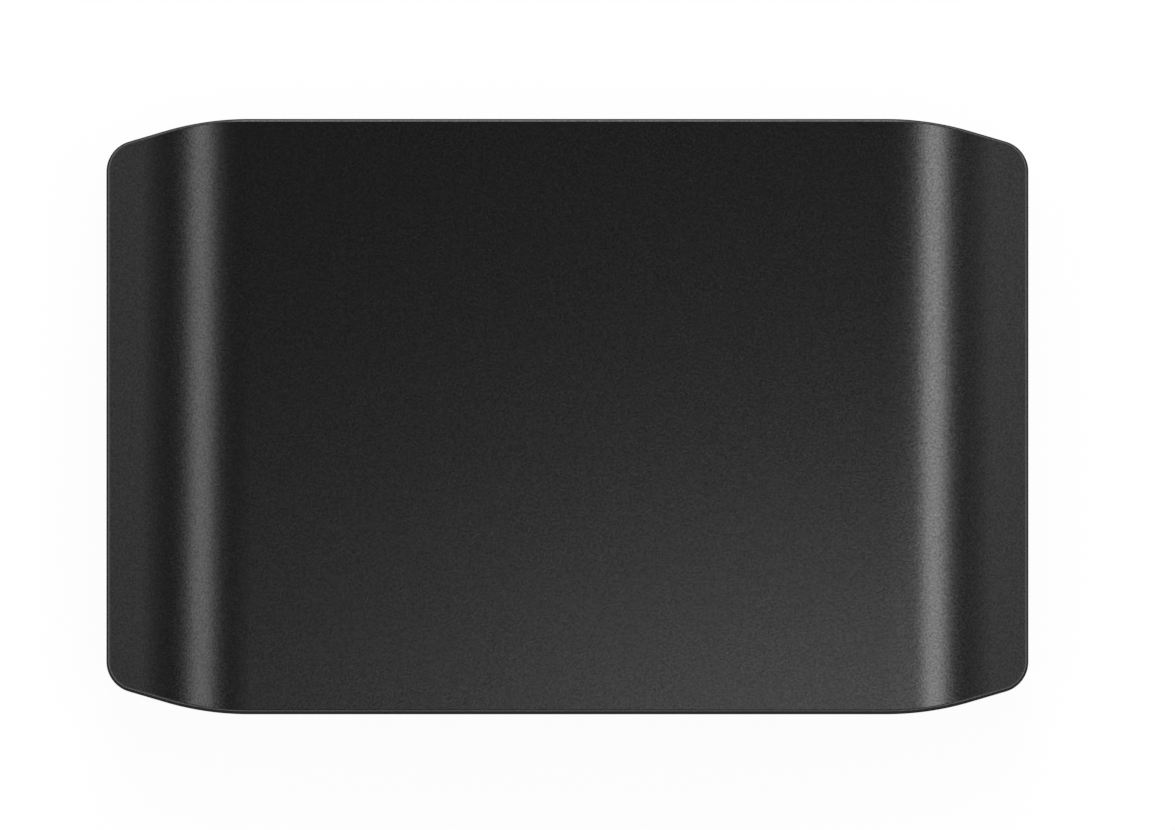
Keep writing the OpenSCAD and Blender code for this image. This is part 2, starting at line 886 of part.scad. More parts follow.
substrate_h = 0.5;
cap_step = 1;
module video_processor() {
    on_deck(0, sink_y) {
        color(board_green)
            translate([-processor_w / 2, -processor_w / 2, 0])
                cube([processor_w, processor_w, substrate_h]);
        translate([0, 0, substrate_h])
            package(processor_w - 2 * cap_step, processor_w - 2 * cap_step, processor_h - substrate_h);
    }
}

module thermal_pad() {
    side = processor_w - 2 * cap_step;
    color(pad_grey)
        on_deck(-side / 2, sink_y - side / 2) translate([0, 0, processor_h]) cube([side, side, pad_t]);
}

module heat_sink() {
    step = (sink_w - fin_t) / (fin_count - 1);
    fin_top = z_ceiling - rib_drop - fin_gap;
    color(alloy_grey)
        on_deck(-sink_w / 2, sink_y - sink_w / 2)
            translate([0, 0, processor_h + pad_t]) {
                cube([sink_w, sink_w, sink_base_t]);
                for (i = [0:fin_count - 1])
                    translate([i * step, 0, 0])
                        cube([fin_t, sink_w, fin_top - z_deck - processor_h - pad_t]);
            }
}

memory_w = 8;
memory_d = 11;
memory_h = 1;
module memory_chips() {
    for (s = [-1, 1])
        on_deck(-side_x - memory_w / 2, sink_y + s * (memory_d + part_gap) / 2)
            package(memory_w, memory_d, memory_h);
}

module input_receiver() {
    on_deck(video_in_x, receiver_y) package(receiver_w, receiver_w, receiver_h);
}

module output_driver() {
    on_deck(video_out_x, driver_y) package(driver_w, driver_w, driver_h);
}

module data_controller() {
    on_deck(data_x, controller_y) package(controller_w, controller_w, controller_h);
}

converter_w = 6.5;
converter_h = 1.1;
converter_leads = 10;
converter_pitch = 0.65;
converter_lead_w = 0.25;
module audio_converter() {
    on_deck(audio_x, converter_y)
        leaded_package(converter_w, converter_d, converter_h, converter_leads, converter_pitch,
                       converter_lead_w);
}

flash_w = 5;
flash_d = 4;
flash_h = 1.6;
flash_leads = 4;
flash_pitch = 1.27;
flash_lead_w = 0.4;
flash_y = sink_y - sink_w / 2 - part_gap;
module flash_memory() {
    on_deck(-side_x - memory_w / 2, flash_y)
        leaded_package(flash_w, flash_d, flash_h, flash_leads, flash_pitch, flash_lead_w);
}

// Three power stages in a column on the right: regulator, inductor, next to each other
stage_count = 3;
stage_pitch = 7;
regulator_w = 3;
regulator_h = 0.9;
inductor_w = 5;
inductor_h = 2.8;
inductor_r = 0.8;
module at_stages(dx) {
    for (i = [0:stage_count - 1])
        on_deck(side_x + dx, sink_y + (i - (stage_count - 1) / 2) * stage_pitch) children();
}

module voltage_regulators() {
    at_stages(regulator_w / 2) package(regulator_w, regulator_w, regulator_h);
}

module power_inductors() {
    color(ferrite_grey)
        at_stages(regulator_w + part_gap + inductor_w / 2)
            linear_extrude(inductor_h) rounded_rect(inductor_w, inductor_w, inductor_r);
}

// Polymer capacitors: a round can on a square moulded base
can_d = 6.3;
can_h = 5.8;
can_base_h = 0.8;
module polymer_capacitors() {
    right_x = hole_x - boss_d / 2 - part_gap - can_d / 2;
    for (i = [0, 1])
        on_deck(right_x - i * (can_d + part_gap), sink_y - sink_w / 2 - can_d / 2) {
            color(package_black)
                translate([-can_d / 2, -can_d / 2, 0]) cube([can_d, can_d, can_base_h]);
            color(alloy_grey) cylinder(d = can_d, h = can_h);
        }
}

crystal_w = 3.2;
crystal_d = 2.5;
crystal_h = 0.8;
crystal_r = 0.5;
module clock_crystals() {
    places = [
        [video_in_x + receiver_w / 2 + part_gap + crystal_w / 2, receiver_y - crystal_d],
        [-part_gap - crystal_w, sink_y - sink_w / 2 - part_gap]
    ];
    color(alloy_grey)
        for (p = places)
            on_deck(p.x, p.y) linear_extrude(crystal_h) rounded_rect(crystal_w, crystal_d, crystal_r);
}

// Each socket that carries fast lines, as [place along the rear wall, depth of its tails]
fast_lines = [[video_in_x, video_tails_y], [video_out_x, video_tails_y], [data_x, data_tails_y]];

// Surge arrays on those lines, close behind the tails
module surge_arrays() {
    color(package_black)
        for (line = fast_lines, s = [-1, 1])
            on_deck(line.x + s * (surge_w + line_gap) / 2 - surge_w / 2, line.y - line_gap - surge_d)
                cube([surge_w, surge_d, surge_h]);
}

// Rows of ceramic capacitors round the processor and along the front of the board
cap_l = 1.6;
cap_w = 0.8;
cap_pitch = 2.4;
cap_count = 10;
module ceramic_capacitors() {
    color(ceramic_tan)
        for (i = [0:cap_count - 1], s = [-1, 1])
            on_deck((i - (cap_count - 1) / 2) * cap_pitch - cap_w / 2,
                    sink_y + s * (processor_w / 2 + part_gap) - cap_l / 2)
                cube([cap_w, cap_l, cap_w]);
}

// Series resistors on the same lines, between the surge arrays and the chip
resistor_count = 6;
module chip_resistors() {
    color(package_black)
        for (line = fast_lines, i = [0:resistor_count - 1])
            on_deck(line.x + (i - (resistor_count - 1) / 2) * 2 * resistor_w - resistor_w / 2,
                    line.y - 2 * line_gap - surge_d - resistor_l)
                cube([resistor_w, resistor_l, resistor_h]);
}

top_cover();
bottom_cover();
foot(-1, -1);  // foot_front_left
foot(1, -1);  // foot_front_right
foot(-1, 1);  // foot_rear_left
foot(1, 1);  // foot_rear_right
case_screws();
board_screws();
main_board();
on_rear(video_in_x) video_shell();  // video_in_shell
on_rear(video_in_x) video_core();  // video_in_core
on_rear(video_in_x) video_contacts();  // video_in_contacts
on_rear(video_out_x) video_shell();  // video_out_shell
on_rear(video_out_x) video_core();  // video_out_core
on_rear(video_out_x) video_contacts();  // video_out_contacts
on_rear(data_x) data_shell();  // data_port_shell
on_rear(data_x) data_core();  // data_port_core
on_rear(data_x) data_contacts();  // data_port_contacts
on_rear(audio_x) jack_body();  // audio_jack_body
on_rear(audio_x) jack_contacts();  // audio_jack_contacts
light_pipe();
status_led();
video_processor();
thermal_pad();
heat_sink();
memory_chips();
input_receiver();
output_driver();
data_controller();
audio_converter();
flash_memory();
voltage_regulators();
power_inductors();
polymer_capacitors();
clock_crystals();
surge_arrays();
ceramic_capacitors();
chip_resistors();
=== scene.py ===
import math

import bmesh
import bpy
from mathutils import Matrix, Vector


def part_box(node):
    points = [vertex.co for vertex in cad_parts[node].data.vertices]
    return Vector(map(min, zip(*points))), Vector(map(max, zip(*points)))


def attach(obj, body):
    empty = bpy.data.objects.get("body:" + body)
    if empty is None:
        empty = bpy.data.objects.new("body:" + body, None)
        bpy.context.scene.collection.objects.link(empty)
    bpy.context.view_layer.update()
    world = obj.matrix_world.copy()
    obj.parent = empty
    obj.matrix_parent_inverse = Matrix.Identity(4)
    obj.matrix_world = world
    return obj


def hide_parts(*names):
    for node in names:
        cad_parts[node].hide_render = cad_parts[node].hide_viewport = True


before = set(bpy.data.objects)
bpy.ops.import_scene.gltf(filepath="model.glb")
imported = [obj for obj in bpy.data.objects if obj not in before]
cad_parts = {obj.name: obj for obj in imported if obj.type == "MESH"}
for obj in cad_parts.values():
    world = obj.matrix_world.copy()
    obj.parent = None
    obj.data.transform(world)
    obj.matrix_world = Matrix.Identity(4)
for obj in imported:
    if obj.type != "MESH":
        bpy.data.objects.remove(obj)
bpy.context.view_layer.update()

# Top cover
# The upper half of the case is one moulding in black ABS. Its walls lean in so that it leaves the
# mould, its two ends turn in and slope down, and screw bosses, ribs and a locating lip are inside.
mm = 0.001
cover_low, cover_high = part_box("top_cover")
half_w = cover_high.x
half_d = cover_high.y
cover_top = cover_high.z
base_low, base_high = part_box("bottom_cover")
floor_z = base_low.z
seam_z = base_high.z
board_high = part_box("main_board")[1]
deck_z = board_high.z
wall = 1.8 * mm
draft = 0.25 * mm
seam_gap = 0.25 * mm
edge_r = 0.2 * mm
edge_steps = 8
corner_r = 3.8 * mm
corner_steps = 20
plan_len = 12.1 * mm
plan_turn = math.radians(16.4)
plan_r = 36 * mm
slope_len = 10.5 * mm
slope_turn = math.radians(26)
slope_r = 30 * mm
bend_steps = 32

# Where each bend starts, measured from the middle of the case
plan_start = half_w - plan_len - plan_r * math.tan(plan_turn / 2)
plan_end = plan_start + plan_r * math.sin(plan_turn)
slope_start = half_w - slope_len - slope_r * math.tan(slope_turn / 2)


def half_depth(x, inset):
    """Half the depth of the case at a distance x from the middle, moved in by inset."""
    r = plan_r - inset
    u = max(x - plan_start, 0)
    line_u = r * math.sin(plan_turn)
    bend = min(u, line_u)
    return half_d - plan_r + math.sqrt(r * r - bend * bend) - (u - bend) * math.tan(plan_turn)


def top_height(x):
    """Height of the top at a distance x from the middle."""
    u = max(abs(x) - slope_start, 0)
    bend = min(u, slope_r * math.sin(slope_turn))
    drop = slope_r - math.sqrt(slope_r * slope_r - bend * bend)
    return cover_top - drop - (u - bend) * math.tan(slope_turn)


corner_x = half_w - corner_r
corner_y = half_depth(corner_x, 0) - corner_r / math.cos(plan_turn)
bends = [slope_start + slope_r * math.sin(slope_turn * i / bend_steps) for i in range(bend_steps + 1)]
bends = sorted(bends + [plan_start, plan_end])


def quarter(inset):
    """A quarter of the plan outline, from the bend round to the end face."""
    r = corner_r - inset
    turns = [(math.pi / 2 - plan_turn) * (1 - i / corner_steps) for i in range(corner_steps + 1)]
    side = [(x, half_depth(x, inset)) for x in bends]
    corner = [(corner_x + r * math.cos(a), corner_y + r * math.sin(a)) for a in turns]
    return side + corner


def plan_ring(inset, height, from_top=False):
    """The whole plan outline as points at one height, or at one depth below the top."""
    q = quarter(inset)
    outline = q + [(x, -y) for x, y in reversed(q)]
    outline += [(-x, -y) for x, y in outline]
    return [(x, y, top_height(x) - height if from_top else height) for x, y in outline]


def flat(outline, z):
    """Points of a level outline."""
    return [(x, y, z) for x, y in outline]


def upright(outline, y):
    """Points of an outline that stands in X and Z."""
    return [(x, y, z) for x, z in outline]


def rounded(corners, radius, steps=48):
    """Outline at a distance radius from a point, a line or a convex anticlockwise polygon."""
    points = []
    for i, (x, y) in enumerate(corners):
        x0, y0 = corners[i - 1]
        x1, y1 = corners[(i + 1) % len(corners)]
        start = math.atan2(y - y0, x - x0) - math.pi / 2
        turn = (math.atan2(y1 - y, x1 - x) - math.pi / 2 - start) % math.tau
        if len(corners) == 1:
            turn = math.tau * (1 - 1 / steps)
        count = max(2, round(steps * turn / math.tau))
        angles = [start + turn * k / (count - 1) for k in range(count)]
        points += [(x + radius * math.cos(a), y + radius * math.sin(a)) for a in angles]
    return points


def rods(places, radius, low, high):
    """Upright round rods as stacks of two rings."""
    return [[flat(rounded([p], radius), z) for z in (low, high)] for p in places]


def bar(x0, x1, y0, y1, low, high):
    """A block as a stack of two rings."""
    return [flat([(x0, y0), (x1, y0), (x1, y1), (x0, y1)], z) for z in (low, high)]


def corners_of(x, y):
    """The four places at a distance x and y from the middle."""
    return [(sx * x, sy * y) for sx in (-1, 1) for sy in (-1, 1)]


def make_solid(name, stacks, ruled=False):
    """Mesh object of closed stacks of rings. A ruled stack has its lid in strips from front to rear."""
    shape = bmesh.new()
    for stack in stacks:
        rows = [[shape.verts.new(p) for p in ring] for ring in stack]
        n = len(rows[0])
        for low, high in zip(rows, rows[1:]):
            for i in range(n):
                j = (i + 1) % n
                shape.faces.new((low[i], low[j], high[j], high[i]))
        shape.faces.new(rows[0])
        lid = rows[-1]
        if ruled:
            order = [n // 4 - 1 - k for k in range(n // 2)]
            for a, b in zip(order, order[1:]):
                shape.faces.new([lid[k % n] for k in (a, b, n // 2 - 1 - b, n // 2 - 1 - a)])
        else:
            shape.faces.new(lid)
    bmesh.ops.recalc_face_normals(shape, faces=shape.faces)
    mesh = bpy.data.meshes.new(name)
    shape.to_mesh(mesh)
    shape.free()
    piece = bpy.data.objects.new(name, mesh)
    bpy.context.scene.collection.objects.link(piece)
    return piece


def shape_with(piece, operation, *tools):
    """Joins the tools to a piece, or cuts them out of it, and removes the tools."""
    for tool in tools:
        step = piece.modifiers.new(tool.name, "BOOLEAN")
        step.operation = operation
        step.solver = "EXACT"
        step.object = tool
    graph = bpy.context.evaluated_depsgraph_get()
    mesh = bpy.data.meshes.new_from_object(piece.evaluated_get(graph))
    piece.modifiers.clear()
    piece.data = mesh
    for tool in tools:
        bpy.data.objects.remove(tool)


def make_hollow():
    """The space inside the case, which is cut out of either cover."""
    low = plan_ring(wall, floor_z + wall)
    seam = plan_ring(wall, seam_z)
    ceiling = plan_ring(wall + draft, wall, from_top=True)
    return make_solid("hollow", [[low, seam, ceiling]], ruled=True)


# The outer form, rounded at the top edge, with the lip that drops into the bottom cover
edge_turns = [math.pi / 2 * i / edge_steps for i in range(edge_steps + 1)]
edge_rings = [
    plan_ring(draft + edge_r * (1 - math.cos(a)), edge_r * (1 - math.sin(a)), from_top=True)
    for a in edge_turns
]
top_cover = make_solid("top_cover_moulding", [[plan_ring(0, seam_z + seam_gap), *edge_rings]], ruled=True)
lip_clear = 0.1 * mm
lip_root = 0.8 * mm
lip_inset = wall / 2 + lip_clear
lip_top = seam_z + seam_gap + lip_root
lip = make_solid("lip", [[plan_ring(lip_inset, z) for z in (cover_low.z, lip_top)]])
shape_with(top_cover, "UNION", lip)

# Bosses over the case screws and the board screws, and ribs under the ceiling
foot_low, foot_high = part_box("foot_rear_right")
foot_r = (foot_high.x - foot_low.x) / 2
hole_inset = 3.5 * mm
case_places = corners_of(foot_high.x - foot_r, foot_high.y - foot_r)
board_places = corners_of(board_high.x - hole_inset, board_high.y - hole_inset)
boss_r = 2.8 * mm
case_bosses = rods(case_places, boss_r, seam_z, cover_top)
board_bosses = rods(board_places, boss_r, deck_z, cover_top)
bosses = make_solid("bosses", case_bosses + board_bosses)
rib_half = 0.5 * mm
rib_drop = 1.2 * mm
rib_x = 18 * mm
rib_y = 12 * mm
rib_low = cover_top - wall - rib_drop
wide_bars = [bar(-half_w, half_w, y - rib_half, y + rib_half, rib_low, cover_top) for y in (-rib_y, rib_y)]
deep_bars = [bar(x - rib_half, x + rib_half, -half_d, half_d, rib_low, cover_top) for x in (-rib_x, rib_x)]
ribs_across = make_solid("ribs_across", wide_bars)
ribs_along = make_solid("ribs_along", deep_bars)
hollow = make_hollow()
shape_with(hollow, "DIFFERENCE", bosses, ribs_across, ribs_along)

# Outline of each socket in the rear wall, drawn in X and Z
video_w = 14 * mm
video_h = 4.55 * mm
video_foot_w = 10.6 * mm
video_straight = 2.3 * mm
video_round = 0.5 * mm
video_sheet = 0.3 * mm
data_w = 8.34 * mm
data_h = 2.56 * mm
data_sheet = 0.25 * mm
jack_nose_r = 2.7 * mm
jack_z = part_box("audio_jack_body")[1].z - jack_nose_r
port_clear = 0.25 * mm
port_chamfer = 0.5 * mm
overshoot = 1 * mm


def middle_x(node):
    """Middle of a node from left to right."""
    low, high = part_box(node)
    return (low.x + high.x) / 2


def shrink(corners, depth):
    """Corners of a convex anticlockwise polygon whose edges are moved in."""
    moved = []
    for i, (x, y) in enumerate(corners):
        x0, y0 = corners[i - 1]
        x1, y1 = corners[(i + 1) % len(corners)]
        a = math.atan2(y - y0, x - x0) + math.pi / 2
        b = math.atan2(y1 - y, x1 - x) + math.pi / 2
        reach = depth / math.cos((b - a) / 2)
        moved.append((x + reach * math.cos((a + b) / 2), y + reach * math.sin((a + b) / 2)))
    return moved


def video_corners(node):
    """Corners of a video opening, wide above and narrow below, inside its round corners."""
    x = middle_x(node)
    z = deck_z + video_sheet
    shoulder = z + video_h - video_straight
    right = [(video_foot_w / 2, z), (video_w / 2, shoulder), (video_w / 2, z + video_h)]
    left = [(-u, w) for u, w in reversed(right)]
    return shrink([(x + u, w) for u, w in right + left], video_round)


def data_corners():
    """The line in the middle of the oval data opening."""
    x = middle_x("data_port_shell")
    reach = (data_w - data_h) / 2
    z = deck_z + data_sheet + data_h / 2
    return [(x - reach, z), (x + reach, z)]


ports = [
    (video_corners("video_in_shell"), video_round + video_sheet),
    (video_corners("video_out_shell"), video_round + video_sheet),
    (data_corners(), data_h / 2 + data_sheet),
    ([(middle_x("audio_jack_body"), jack_z)], jack_nose_r),
]
port_stacks = []
for port, radius in ports:
    wide = rounded(port, radius + port_clear + port_chamfer)
    narrow = rounded(port, radius + port_clear)
    port_stacks.append(
        [
            upright(wide, half_d + overshoot),
            upright(wide, half_d),
            upright(narrow, half_d - port_chamfer),
            upright(narrow, half_d - 2 * wall),
        ]
    )
port_cutter = make_solid("ports", port_stacks)

# Window for the light in the front wall, and the pilot holes of the screws
light_w = 6 * mm
light_h = 1.2 * mm
light_clear = 0.08 * mm
light_rise = 1.3 * mm
light_reach = (light_w - light_h) / 2
light_line = [(-light_reach, deck_z + light_rise), (light_reach, deck_z + light_rise)]
light_hole = rounded(light_line, light_h / 2 + light_clear)
window = make_solid("window", [[upright(light_hole, y) for y in (-half_d - overshoot, 2 * wall - half_d)]])
thread_r = 1.25 * mm
pilot_spare = 0.6 * mm
case_pilots = rods(case_places, thread_r, cover_low.z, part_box("case_screws")[1].z + pilot_spare)
board_pilots = rods(board_places, thread_r, deck_z - overshoot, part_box("board_screws")[1].z + pilot_spare)
pilots = make_solid("pilots", case_pilots + board_pilots)
shape_with(top_cover, "DIFFERENCE", hollow, port_cutter, window, pilots)


def linear(code):
    """Linear colour of an sRGB hex code."""
    parts = [int(code[i : i + 2], 16) / 255 for i in (1, 3, 5)]
    return [c / 12.92 if c <= 0.04045 else ((c + 0.055) / 1.055) ** 2.4 for c in parts] + [1]


def add_node(tree, kind, inputs=None, **settings):
    """Adds a node with its settings, and sets or links its inputs."""
    node = tree.nodes.new(kind)
    for name, value in settings.items():
        setattr(node, name, value)
    for name, value in (inputs or {}).items():
        if isinstance(value, bpy.types.NodeSocket):
            tree.links.new(value, node.inputs[name])
        else:
            node.inputs[name].default_value = value
    return node


def grained(name, size, colours, gloss, depth, stretch=(1, 1, 1)):
    """Starts a material whose colour, gloss and relief follow one grain, which stretch lengthens."""
    material = bpy.data.materials.new(name)
    material.use_nodes = True
    tree = material.node_tree
    tree.nodes.clear()
    place = add_node(tree, "ShaderNodeTexCoord").outputs["Object"]
    # Turned off the axes, so that the grain's own grid doesn't line up with the faces
    turn = [math.radians(degrees) for degrees in (33, 21, 47)]
    steps = [1 / (size * s) for s in stretch]
    fine = add_node(tree, "ShaderNodeMapping", {"Vector": place, "Rotation": turn, "Scale": steps})
    inputs = {"Vector": fine.outputs[0], "Scale": 1.0, "Detail": 1.0}
    grain = add_node(tree, "ShaderNodeTexNoise", inputs).outputs["Fac"]
    low, high = [linear(code) for code in colours]
    colour = add_node(tree, "ShaderNodeMix", {0: grain, 6: low, 7: high}, data_type="RGBA")
    satin = add_node(tree, "ShaderNodeMapRange", {"Value": grain, "To Min": gloss[0], "To Max": gloss[1]})
    relief = add_node(tree, "ShaderNodeBump", {"Height": grain, "Distance": depth, "Strength": 1.0})
    face = {
        "place": place,
        "grain": grain,
        "colour": colour.outputs[2],
        "gloss": satin.outputs["Result"],
        "relief": relief.outputs["Normal"],
    }
    return material, tree, face


def close_material(tree, face, **inputs):
    """Ends a material with one surface shader."""
    named = {name.replace("_", " "): value for name, value in inputs.items()}
    named |= {"Base Color": face["colour"], "Roughness": face["gloss"], "Normal": face["relief"]}
    shader = add_node(tree, "ShaderNodeBsdfPrincipled", named)
    add_node(tree, "ShaderNodeOutputMaterial", {"Surface": shader.outputs["BSDF"]})


# Black ABS out of a spark-eroded mould: a satin face with a fine, sandy grain whose pits take the
# light out of each highlight, over a black that varies a little where the melt flowed. The real
# grain is about 0.1 mm across, and it is drawn coarser so that it shows.
grain_size = 0.24 * mm
grain_depth = 0.004 * mm
flow_size = 9 * mm


def moulded_abs(name, colours, gloss):
    """Starts the material of one face of a moulding."""
    material, tree, face = grained(name, grain_size, colours, gloss, grain_depth)
    inputs = {"Vector": face["place"], "Scale": 1 / flow_size, "Detail": 3.0}
    flow = add_node(tree, "ShaderNodeTexNoise", inputs).outputs["Fac"]
    inputs = {0: flow, 6: face["colour"], 7: linear(colours[1])}
    face["colour"] = add_node(tree, "ShaderNodeMix", inputs, data_type="RGBA").outputs[2]
    return material, tree, face


abs_ior = 1.54
pit = 0.3
peak = 0.7
pit_shine = 0.6
peak_shine = 1.2
satin_abs, tree, face = moulded_abs("black_abs_satin", colours=("#0b0b0c", "#0d0d0e"), gloss=(0.185, 0.245))
shine = add_node(
    tree,
    "ShaderNodeMapRange",
    {"Value": face["grain"], "From Min": pit, "From Max": peak, "To Min": pit_shine, "To Max": peak_shine},
)
close_material(tree, face, IOR=abs_ior, Specular_Tint=shine.outputs["Result"])
# The walls take a copy of the same ABS with no reflection, so that they stay dark as in shade when seen
# from above. Its dark grey base colour is painted sheen in place of that reflection.
walls_painted_sheen_abs, tree, face = moulded_abs("black_abs_walls_painted_sheen", colours=("#262628", "#2e2e30"), gloss=(0.8, 0.95))
close_material(tree, face, IOR=abs_ior, Specular_IOR_Level=0.0)


def round_edges(piece, material, edge):
    """Gives a piece its material, rounds its sharp edges a little and shades it smooth."""
    piece.data.materials.clear()
    piece.data.materials.append(material)
    piece.data.shade_smooth()
    rounding = piece.modifiers.new("edges", "BEVEL")
    rounding.width = edge
    rounding.segments = 2
    rounding.limit_method = "ANGLE"
    rounding.angle_limit = math.radians(35)
    shading = piece.modifiers.new("shading", "WEIGHTED_NORMAL")
    shading.keep_sharp = True


# A face counts as a wall between the seam and the top edge, or where it hardly looks up or down
wall_foot = seam_z + seam_gap / 2
wall_top = top_height(half_w) - edge_r
wall_lean = 0.05
moulding_edge = 0.06 * mm


def place_moulding(piece, node):
    """Puts a moulded cover in the place of its CAD node, with its walls and their openings in the copy of
    the ABS that has painted grey sheen and no reflection.
    """
    round_edges(piece, satin_abs, moulding_edge)
    # The walls and their openings get the second material: painted grey sheen with the reflection taken
    # out.
    piece.data.materials.append(walls_painted_sheen_abs)
    for side in piece.data.polygons:
        in_wall = wall_foot < side.center.z < wall_top
        side.material_index = int(in_wall or abs(side.normal.z) < wall_lean)
    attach(piece, "root")
    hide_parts(node)


place_moulding(top_cover, "top_cover")

# Light pipe
# A bar of clear acrylic in the window of the front wall, which carries the glow of the status light
# to the face. Its flange stands on the board behind the wall and holds it in.

# Acrylic off a blasted mould face: milky, bright at the edges, with a soft and uneven gloss.
frosted_acrylic, tree, face = grained(
    "frosted_acrylic",
    size=0.3 * mm,
    colours=("#dde2e6", "#eff2f4"),
    gloss=(0.28, 0.46),
    depth=0.002 * mm,
)
close_material(tree, face, IOR=1.49, Transmission_Weight=0.45)


def dress(node, material, edge):
    """Finishes a CAD node, with its flat faces made whole before its edges are rounded."""
    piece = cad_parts[node]
    merge = piece.modifiers.new("merge", "WELD")
    merge.merge_threshold = 0.0005 * mm
    whole = piece.modifiers.new("whole", "DECIMATE")
    whole.decimate_type = "DISSOLVE"
    whole.angle_limit = math.radians(0.5)
    round_edges(piece, material, edge)


dress("light_pipe", frosted_acrylic, edge=0.08 * mm)

# Circuit board
# Glass-epoxy laminate under green solder mask, with a bare ring round each of its screw holes. It
# carries every electrical part, and four screws hold it to the bosses of the top cover.

# Solder mask is a glossy dark green, thinner and paler over the copper tracks. The sawn edge shows
# the straw colour of the laminate, and the rings are tinned copper.
track_pitch = 1.6 * mm
track_len = 9 * track_pitch
track_gap = 0.35 * mm
ring_r = 2.6 * mm
masked_laminate, tree, face = grained(
    "solder_masked_laminate",
    size=0.5 * mm,
    colours=("#174a30", "#1b5537"),
    gloss=(0.28, 0.36),
    depth=0.006 * mm,
)
tracks = add_node(
    tree,
    "ShaderNodeTexBrick",
    {
        "Vector": face["place"],
        "Color1": linear("#ffffff"),
        "Color2": linear("#d9d9d9"),
        "Mortar": linear("#b0b0b0"),
        "Scale": 1.0,
        "Mortar Size": track_gap,
        "Brick Width": track_len,
        "Row Height": track_pitch,
    },
)
over_copper = add_node(
    tree,
    "ShaderNodeMix",
    {0: 1.0, 6: face["colour"], 7: tracks.outputs["Color"]},
    data_type="RGBA",
    blend_type="MULTIPLY",
)


def upward(tree):
    """How far a face looks up or down, from 0 on a wall to 1 on a level face."""
    normal = add_node(tree, "ShaderNodeNewGeometry").outputs["Normal"]
    height = add_node(tree, "ShaderNodeSeparateXYZ", {"Vector": normal}).outputs["Z"]
    return add_node(tree, "ShaderNodeMath", {0: height}, operation="ABSOLUTE").outputs[0]


def apart(tree, value, middle):
    """Distance of a value from a middle one, on either side of it."""
    off = add_node(tree, "ShaderNodeMath", {0: value, 1: middle}, operation="SUBTRACT").outputs[0]
    return add_node(tree, "ShaderNodeMath", {0: off}, operation="ABSOLUTE").outputs[0]


def along(tree, face, axis):
    """Place of a point along one axis."""
    return add_node(tree, "ShaderNodeSeparateXYZ", {"Vector": face["place"]}).outputs[axis]


face_or_edge = add_node(
    tree,
    "ShaderNodeMix",
    {0: upward(tree), 6: linear("#a08a52"), 7: over_copper.outputs[2]},
    data_type="RGBA",
)
hole_x, hole_y = board_places[-1]
off_x = apart(tree, apart(tree, along(tree, face, "X"), 0), hole_x)
off_y = apart(tree, apart(tree, along(tree, face, "Y"), 0), hole_y)
square_x = add_node(tree, "ShaderNodeMath", {0: off_x, 1: off_x}, operation="MULTIPLY").outputs[0]
square_y = add_node(tree, "ShaderNodeMath", {0: off_y, 1: off_y}, operation="MULTIPLY").outputs[0]
square = add_node(tree, "ShaderNodeMath", {0: square_x, 1: square_y}).outputs[0]
ring = add_node(tree, "ShaderNodeMath", {0: square, 1: ring_r**2}, operation="LESS_THAN").outputs[0]
tinned = add_node(
    tree,
    "ShaderNodeMix",
    {0: ring, 6: face_or_edge.outputs[2], 7: linear("#c9ccce")},
    data_type="RGBA",
)
face["colour"] = tinned.outputs[2]
close_material(tree, face, IOR=1.5, Metallic=ring)
dress("main_board", masked_laminate, edge=0.06 * mm)

# Video sockets
# Two sockets for digital video, one in and one out. A folded shell of plated steel stands on the
# board by four legs, and holds a nylon core with a tongue between two rows of sprung contacts.

# Bright nickel over rolled sheet: a warm grey mirror with faint streaks along the rolling.
nickel_steel, tree, face = grained(
    "nickel_plated_steel",
    size=0.12 * mm,
    colours=("#b9b8b4", "#d2d1cd"),
    gloss=(0.2, 0.34),
    depth=0.0015 * mm,
    stretch=(1, 14, 1),
)
close_material(tree, face, Metallic=1.0)
# Nylon with short glass fibres: black, a little uneven, with the fibres just showing in the gloss.
# They are drawn much thicker than the real ones, which are about 0.01 mm.
filled_nylon, tree, face = grained(
    "glass_filled_nylon",
    size=0.1 * mm,
    colours=("#141416", "#202022"),
    gloss=(0.42, 0.6),
    depth=0.003 * mm,
    stretch=(1, 5, 1),
)
close_material(tree, face, IOR=1.53)
# A thin flash of gold on stamped bronze: deep yellow, smooth, a little redder where it is worn.
gold_flash, tree, face = grained(
    "gold_flashed_bronze",
    size=0.15 * mm,
    colours=("#cfa64a", "#e2be6c"),
    gloss=(0.18, 0.3),
    depth=0.001 * mm,
    stretch=(1, 6, 1),
)
close_material(tree, face, Metallic=1.0)
for socket in ("video_in", "video_out"):
    dress(socket + "_shell", nickel_steel, edge=0.08 * mm)
    dress(socket + "_core", filled_nylon, edge=0.06 * mm)
    dress(socket + "_contacts", gold_flash, edge=0.03 * mm)

# Data socket
# A small oval socket for the lead to the computer, drawn from one piece of the same plated steel,
# with a nylon core and two rows of twelve contacts.
dress("data_port_shell", nickel_steel, edge=0.06 * mm)
dress("data_port_core", filled_nylon, edge=0.05 * mm)
dress("data_port_contacts", gold_flash, edge=0.02 * mm)

# Audio jack
# A nylon block with a round nose in the rear wall and a bore for a 3.5 mm plug. Three sprung leaves
# lie along the bore and end in pins through the board.
dress("audio_jack_body", filled_nylon, edge=0.1 * mm)
dress("audio_jack_contacts", gold_flash, edge=0.03 * mm)

# Chips
# The receiver, driver, controller, memory, regulators and surge arrays are silicon moulded into
# black epoxy and soldered flat to the board. Two more packages stand on rows of tinned leads.
epoxy_ior = 1.55


def epoxy(name):
    """Filled epoxy off a dull mould: near-black and dry, with a fine pale speckle of the filler."""
    return grained(
        name, size=0.09 * mm, colours=("#18191b", "#323437"), gloss=(0.5, 0.66), depth=0.004 * mm
    )


